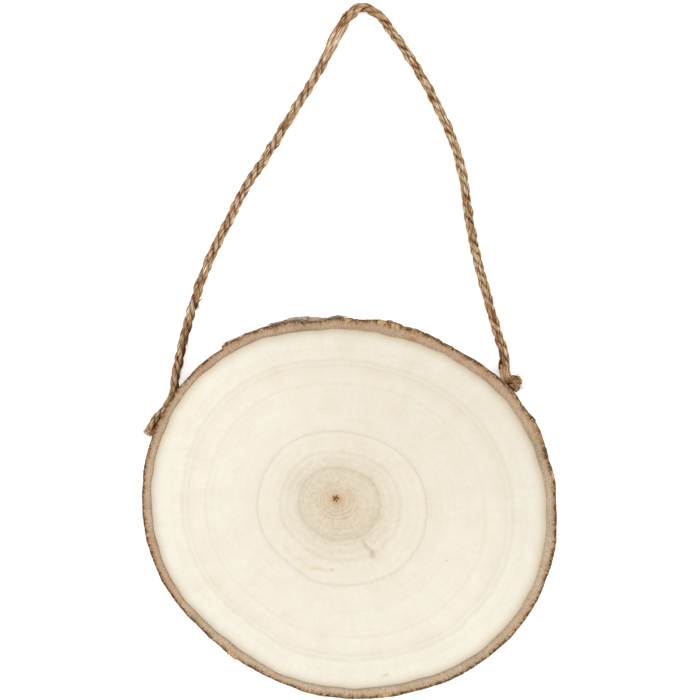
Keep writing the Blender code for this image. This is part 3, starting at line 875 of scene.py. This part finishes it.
def make_strand(strand):
    """A closed tube of bunched fibres round the strand's middle, with the values of its material."""
    turn = cord_turn + math.tau * strand / STRANDS
    wander = 1 + 0.10 * np.sin(cord_along / 0.0067 + 2.1 * strand) + 0.07 * np.sin(cord_along / 0.0031 + strand)
    out = STRAND_OFFSET * wander * (1 - 0.10 * loosened)
    across, upright = out * np.cos(turn), out * np.sin(turn)
    centre = cord_middle + across[:, None] * cord_wide + upright[:, None] * cord_high
    around_it = math.tau * np.arange(STRAND_SIDES) / STRAND_SIDES
    along = cord_along[:, None]
    # Fibres turn the other way from the strands, so on the outside they run nearly straight along the cord
    fibre_turn = around_it[None, :] + 0.8 * cord_turn[:, None] + strand
    radius = 1 + 0 * fibre_turn
    for number, (count, size, swing, length) in enumerate(BUNCHES, start=1):
        radius += size * np.sin(count * fibre_turn + swing * np.sin(along / length + number * strand))
    thick = 1 + 0.12 * np.sin(along / 0.013 + 1.9 * strand) + 0.06 * np.sin(along / 0.0043 + 2.3 * strand)
    radius = STRAND_RADIUS * radius * thick * (1 + 0.30 * loosened[:, None])
    # The last millimetres of each cut end spread a little
    from_end = np.minimum(cord_along, cord_length - cord_along)[:, None]
    radius = radius * (1 + 0.12 * smooth(from_end, 0.003, 0.0))
    across, upright = radius * np.cos(around_it), radius * np.sin(around_it)
    points = centre[:, None, :] + across[..., None] * cord_wide[:, None, :]
    points += upright[..., None] * cord_high[:, None, :]
    points[..., 2] = np.maximum(points[..., 2], 0.00005)
    from_middle = points - cord_middle[:, None, :]
    out_share = np.linalg.norm(from_middle, axis=-1) / (0.5 * CORD_DIAMETER)
    out_share = out_share / (0.5 * (cord_width + cord_upright))[:, None]
    # Painted shade: the lowest part of each leg is darker, most on the side that the bark shades
    to_bark = unit(np.array(PITH) - cord_middle[:, :2])
    facing = np.einsum("ijk,ik->ij", from_middle[..., :2], to_bark) / (0.5 * CORD_DIAMETER)
    low_part = smooth(cord_along, 0.080, 0.050) * np.maximum(0.42, smooth(cord_along, 0.013, 0.021))
    low_part += smooth(cord_along, cord_length - 0.034, cord_length - 0.012)
    stained = low_part[:, None] * (0.13 + 0.87 * smooth(facing, -0.05, 0.75))
    fibre_place = [np.cos(fibre_turn) + 7 * strand, np.sin(fibre_turn), along / 0.02 + 0 * fibre_turn]
    fibre_place = np.stack(fibre_place, axis=-1)
    # Each end is closed by a fan of faces round the strand's middle
    rows, last_row, middle = len(centre), (len(centre) - 1) * STRAND_SIDES, len(centre) * STRAND_SIDES
    faces = [face[::-1] for face in grid_faces(rows, STRAND_SIDES)]
    for side in range(STRAND_SIDES):
        next_side = (side + 1) % STRAND_SIDES
        faces.append([middle, next_side, side])
        faces.append([middle + 1, last_row + side, last_row + next_side])
    values = {
        "fibre_place": np.concatenate([fibre_place.reshape(-1, 3), fibre_place[0, :1], fibre_place[-1, :1]]),
        "out_share": np.concatenate([out_share.ravel(), [0.9, 0.9]]),
        "stained": np.concatenate([stained.ravel(), [0.0, 0.0]]),
    }
    return np.concatenate([points.reshape(-1, 3), centre[:1], centre[-1:]]), faces, values


# Raw jute: golden straw fibres about 0.3 mm thick with a dull silky sheen, darker and redder where the
# strands meet, from trapped dust and painted shade. Real fibres are finer, and these are as coarse as it
# takes for them to show.
jute, tree, shader = new_material("raw_jute")
fibre_place = add(tree, "Attribute", out="Vector", attribute_name="fibre_place")
place = add(tree, "TexCoord", out="Object")
strips = add(tree, "Mapping", {"Vector": fibre_place, "Scale": (2.3, 2.3, 2.0)})
strips = add(tree, "TexNoise", {"Vector": strips, "Scale": 1.0, "Detail": 3.0, "Roughness": 0.65})
hairs = add(tree, "Mapping", {"Vector": fibre_place, "Scale": (6.0, 6.0, 4.2)})
hairs = add(tree, "TexNoise", {"Vector": hairs, "Scale": 1.0, "Detail": 2.0})
mixed = add(tree, "Math", {0: hairs, 1: 0.8, 2: strips}, operation="MULTIPLY_ADD")
mixed = add(tree, "Math", {0: mixed, 1: 1.06, 2: -0.155}, operation="MULTIPLY_ADD")
# Partly painted light: the palest streaks are painted highlight on the raised fibres and the darkest are painted
# shade between them, over the fibres' own mixed tones
JUTE_TONES = ((0.60, "#462208"), (0.69, "#8E5B2D"), (0.79, "#BC9363"), (0.89, "#DEC59E"), (0.99, "#F8F0DF"))
colour = add(tree, "ValToRGB", {0: mixed}, stops=JUTE_TONES)
dyed = add(tree, "TexNoise", {"Vector": place, "Scale": 190.0, "Detail": 2.0})
reddish = add(tree, "MapRange", {0: dyed, 1: 0.50, 2: 0.68, 4: 0.60})
greenish = add(tree, "MapRange", {0: dyed, 1: 0.46, 2: 0.30, 4: 0.40})
# Painted shade and dust between the strands: darker where the surface lies deep towards the cord's middle
in_groove = add(tree, "Attribute", out="Fac", attribute_name="out_share")
in_groove = add(tree, "MapRange", {0: in_groove, 1: 0.90, 2: 0.60})
groove_dust_and_shade = add(tree, "MapRange", {0: dyed, 1: 0.30, 2: 0.62, 3: 0.45, 4: 1.0})
in_groove = add(tree, "Math", {0: in_groove, 1: groove_dust_and_shade}, operation="MULTIPLY")
# Painted shade: darker and redder on the side towards the bark, which shades it
stained = add(tree, "Attribute", out="Fac", attribute_name="stained")
for how, share, coat in (
    ("MULTIPLY", reddish, "#DC9C68"),
    ("MULTIPLY", greenish, "#DAD6C0"),
    ("MIX", in_groove, "#44220A"),
    ("MULTIPLY", stained, "#74451F"),
):
    colour = add(tree, "Mix", {0: share, 6: colour, 7: coat}, 2, data_type="RGBA", blend_type=how)
relief = add(tree, "Bump", {"Height": mixed, "Strength": 0.8, "Distance": 0.00022})
plug(tree, shader, {"Base Color": colour, "Normal": relief, "Roughness": 0.72, "Specular IOR Level": 0.10})

cord = make_piece("jute_cord_strands", *joined([make_strand(strand) for strand in range(STRANDS)]), [jute])
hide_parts("jute_cord")

# Loose fibres
# Jute is hairy: short ends of its fibres work out of the twist all along it, and more of them at the cut
# ends, where the strands fray into a brush.

FIBRE_SEED = 11
LONG_FIBRES = 1300
CLUMP_FIBRES = 22
# Radii in metres. Real fibres are finer, and these are as coarse as it takes for them to show.
FIBRE_RADIUS = 0.00007
TUFT_RADIUS = 0.00011
WISP_RADIUS = 0.00012
CLUMP_RADIUS = 0.00017
fibre_draw = random.Random(FIBRE_SEED)
loose_fibres = []


def add_fibre(path, radius, tone):
    """A thin three-sided hair that tapers along its path to about a third of its thickness."""
    path = np.array(path)
    path[:, 2] = np.maximum(path[:, 2], 0.00012)
    forward = unit(np.gradient(path, axis=0) + 1e-12)
    side = unit(np.cross(forward, (0.31, 0.17, 0.93)))
    up = np.cross(forward, side)
    taper = radius * np.linspace(1.0, 0.35, len(path))[:, None]
    turns = [math.tau * corner / 3 for corner in range(3)]
    rings = [path + taper * (math.cos(turn) * side + math.sin(turn) * up) for turn in turns]
    points = np.stack(rings, axis=1).reshape(-1, 3)
    faces = []
    for row in range(len(path) - 1):
        for corner in range(3):
            here = 3 * row + corner
            there = 3 * row + (corner + 1) % 3
            faces.append([here, there, there + 3, here + 3])
    last = 3 * (len(path) - 1)
    faces += [[2, 1, 0], [last, last + 1, last + 2]]
    loose_fibres.append((points, faces, {"tone": np.full(len(points), tone)}))


def grow_along_cord():
    """Fibres that start on the cord's surface and leave it slowly, most of them lying close along it."""
    for _ in range(LONG_FIBRES):
        place_along = fibre_draw.random() * (cord_length - 0.004) + 0.002
        index = min(len(cord_along) - 2, int(place_along / CORD_STEP))
        turn = fibre_draw.uniform(0, math.tau)
        outward = math.cos(turn) * cord_wide[index] + math.sin(turn) * cord_high[index]
        start = cord_middle[index] + 0.42 * CORD_DIAMETER * outward
        way = fibre_draw.choice((-1, 1))
        lift = abs(fibre_draw.gauss(0, 0.13)) + 0.03
        sweep = fibre_draw.gauss(0, 0.30)
        length = fibre_draw.uniform(0.002, 0.0065)
        if fibre_draw.random() < 0.05:
            length *= 1.3
            lift += 0.35
        across_it = np.cross(cord_forward[index], outward)
        path = []
        for step in np.linspace(0, 1, 7):
            reach = way * length * step * cord_forward[index]
            rise = length * (lift * step + 0.25 * lift * step**2) * outward
            path.append(start + reach + rise + length * sweep * step**2 * across_it)
        add_fibre(path, FIBRE_RADIUS * fibre_draw.uniform(0.6, 1.2), fibre_draw.random())


def fray_end(index, way, length, spread, clumps, tones):
    """A brush of fibre ends in clumps at a cut end: way is 1 at the far end and -1 at the near one."""
    across, upright = cord_wide[index], cord_high[index]
    for clump in range(clumps):
        out = math.sqrt((clump + 0.5) / clumps)
        turn = 2.4 * clump + fibre_draw.gauss(0, 0.2)
        middle = 0.46 * CORD_DIAMETER * out * (math.cos(turn) * across + math.sin(turn) * upright)
        away = unit(middle) * spread * out * fibre_draw.uniform(0.2, 1.4)
        own = length * fibre_draw.uniform(0.15, 1.0)
        tone = fibre_draw.uniform(*tones)
        for _ in range(CLUMP_FIBRES):
            scatter = fibre_draw.gauss(0, 0.00028) * across + fibre_draw.gauss(0, 0.00028) * upright
            start = cord_middle[index] + middle + scatter - 0.0012 * way * cord_forward[index]
            reach = way * (own * fibre_draw.uniform(0.75, 1.0) + 0.0012) * cord_forward[index]
            bend = own * (away + 900 * scatter * fibre_draw.uniform(0.0, 1.0))
            path = [start + reach * step + bend * step**1.6 for step in np.linspace(0, 1, 6)]
            own_tone = min(1.0, max(0.0, tone + fibre_draw.gauss(0, 0.08)))
            add_fibre(path, CLUMP_RADIUS * fibre_draw.uniform(0.7, 1.3), own_tone)


def lay_over_staple(middle, top, count, half_width):
    """Wisps of the cord that the staple has pushed up and that lie back over its wire."""
    nearest = int(np.argmin(np.linalg.norm(cord_middle - middle, axis=1)))
    for _ in range(count):
        across = fibre_draw.uniform(-half_width, half_width)
        start = nearest - int(fibre_draw.uniform(0.0025, 0.006) / CORD_STEP)
        end = nearest + int(fibre_draw.uniform(0.002, 0.005) / CORD_STEP)
        round_top = math.sqrt(max(0.0, 1 - (across / (half_width + 0.0001)) ** 2))
        path = []
        for index in np.linspace(max(0, start), min(len(cord_along) - 1, end), 9).astype(int):
            height = cord_middle[index][2] + 0.46 * CORD_DIAMETER * cord_upright[index] * round_top
            over = float(hump(np.array((index - nearest) * CORD_STEP), 0.0042))
            point = cord_middle[index] + across * cord_side[index]
            point[2] = height + over * max(0.0, top - height)
            path.append(point)
        add_fibre(path, WISP_RADIUS * fibre_draw.uniform(0.7, 1.3), fibre_draw.uniform(0.15, 0.95))


# Tufts and stray ends that the photograph shows: x, y and z in mm, heading and its spread in degrees,
# length in mm, how many fibres, and their tone from dark to pale
TUFTS = (
    (-74.4, 98.8, 3.6, 54.0, 7.0, 4.6, 9, 0.35),
    (-75.6, 98.6, 4.4, -72.0, 16.0, 3.2, 30, 0.02),
    (-85.4, 73.0, 5.6, 1.0, 1.0, 4.7, 3, 1.00),
    (82.5, 57.4, 9.0, -12.0, 14.0, 2.8, 8, 0.90),
    (-97.5, 37.2, 4.4, 215.0, 30.0, 2.6, 14, 0.80),
)


def grow_tufts():
    """Short bundles of fibres that head the same way."""
    for x, y, z, heading, spread, length, count, tone in TUFTS:
        for _ in range(count):
            way = math.radians(heading + fibre_draw.gauss(0, spread))
            own = 0.001 * length * fibre_draw.uniform(0.6, 1.0)
            start = 0.001 * np.array([x, y, z]) + [fibre_draw.gauss(0, 0.0004) for _ in range(3)]
            ahead = np.array([math.cos(way), math.sin(way), fibre_draw.gauss(0.0, 0.12)])
            bend = fibre_draw.gauss(0, 0.2) * np.array([-ahead[1], ahead[0], 0.0])
            path = [start + own * (step * ahead + step**2 * bend) for step in np.linspace(0, 1, 6)]
            radius = TUFT_RADIUS * fibre_draw.uniform(0.7, 1.2)
            add_fibre(path, radius, min(1.0, max(0.0, fibre_draw.gauss(tone, 0.15))))


grow_along_cord()
grow_tufts()
lay_over_staple((0.0748, 0.0630, 0.0047), 0.0086, 110, 0.0026)
lay_over_staple((-0.0866, 0.0515, 0.0048), 0.0084, 100, 0.0023)
fray_end(0, -1, 0.0018, 0.35, 18, (0.25, 1.0))
fray_end(len(cord_along) - 1, 1, 0.0013, 0.22, 34, (0.05, 1.0))

# Single jute fibres: paler than the cord, because light passes through them
jute_hair, tree, shader = new_material("loose_jute_fibre")
hair_tone = add(tree, "Attribute", out="Fac", attribute_name="tone")
HAIR_TONES = ((0.0, "#4E2A12"), (0.22, "#9A6430"), (0.55, "#C4965C"), (1.0, "#EAD9B6"))
colour = add(tree, "ValToRGB", {0: hair_tone}, stops=HAIR_TONES)
plug(tree, shader, {"Base Color": colour, "Roughness": 0.6, "Specular IOR Level": 0.35})

fibres = make_piece("jute_loose_fibres", *joined(loose_fibres), [jute_hair])
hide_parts("jute_cord")

# Staples
# Two wire staples, shot through the bark into the wood over the cord. Drawn steel wire with a thin zinc
# coat, gone dull and a little spotted.

zinc_wire, tree, shader = new_material("dull_zinc_coated_wire")
place = add(tree, "TexCoord", out="Object")
spangle = add(tree, "TexNoise", {"Vector": place, "Scale": 900.0, "Detail": 4.0})
ZINC_TONES = ((0.34, "#3E3833"), (0.55, "#5E5851"), (0.75, "#7C766E"))
colour = add(tree, "ValToRGB", {0: spangle}, stops=ZINC_TONES)
dull = add(tree, "MapRange", {0: spangle, 3: 0.34, 4: 0.62})
relief = add(tree, "Bump", {"Height": spangle, "Strength": 0.3, "Distance": 0.00004})
plug(tree, shader, {"Base Color": colour, "Normal": relief, "Roughness": dull, "Metallic": 1.0})
for name in ("staple_left", "staple_right"):
    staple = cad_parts[name]
    staple.data.materials.clear()
    staple.data.materials.append(zinc_wire)

# Table, light and camera
# The slice and its cord lie on a table of matt white acrylic, faintly lit from below as product tables are,
# under wide soft lamps and a white ceiling. The camera looks straight down, as square to the face as the
# photograph is.

TABLE_HALF = 3.0
TABLE_HEIGHT = -0.0002
corners = ((-1, -1), (1, -1), (1, 1), (-1, 1))
table_points = [(x * TABLE_HALF, y * TABLE_HALF, TABLE_HEIGHT) for x, y in corners]
table_mesh = bpy.data.meshes.new("table")
table_mesh.from_pydata(table_points, [], [(0, 1, 2, 3)])
table = bpy.data.objects.new("table", table_mesh)
bpy.context.scene.collection.objects.link(table)
table_top, tree, shader = new_material("backlit_white_acrylic")
plug(tree, shader, {"Base Color": "#FBFBFA", "Emission Color": "#FFFFFF", "Emission Strength": 0.50})
plug(tree, shader, {"Roughness": 0.9, "Specular IOR Level": 0.1})
table_mesh.materials.append(table_top)

world = bpy.data.worlds.new("white_studio")
bpy.context.scene.world = world
world.use_nodes = True
plug(world.node_tree, world.node_tree.nodes["Background"], {"Color": "#FFFFFF", "Strength": 0.46})

# Lamps: name, place, size in metres and power in watts
LAMPS = (
    ("left_softbox", (-1.15, 0.25, 0.95), 0.9, 7.5),
    ("right_softbox", (1.15, 0.15, 0.95), 0.9, 7.1),
    ("top_softbox", (0.1, 0.5, 1.9), 1.4, 10.8),
)
for name, lamp_place, size, power in LAMPS:
    lamp_data = bpy.data.lights.new(name, "AREA")
    lamp_data.shape = "SQUARE"
    lamp_data.size = size
    lamp_data.energy = power
    lamp = bpy.data.objects.new(name, lamp_data)
    lamp.location = lamp_place
    towards = Vector((0.0, 0.08, 0.0)) - Vector(lamp_place)
    lamp.rotation_euler = towards.to_track_quat("-Z", "Y").to_euler()
    bpy.context.scene.collection.objects.link(lamp)

camera_data = bpy.data.cameras.new("camera")
camera_data.lens = 105.9
camera_data.sensor_width = 36.0
camera_data.clip_start = 0.01
camera = bpy.data.objects.new("camera", camera_data)
camera.location = (-0.00027, 0.07593, 1.0 + THICKNESS)
bpy.context.scene.collection.objects.link(camera)
bpy.context.scene.camera = camera
bpy.context.scene.view_settings.view_transform = "Standard"
bpy.context.scene.view_settings.look = "None"
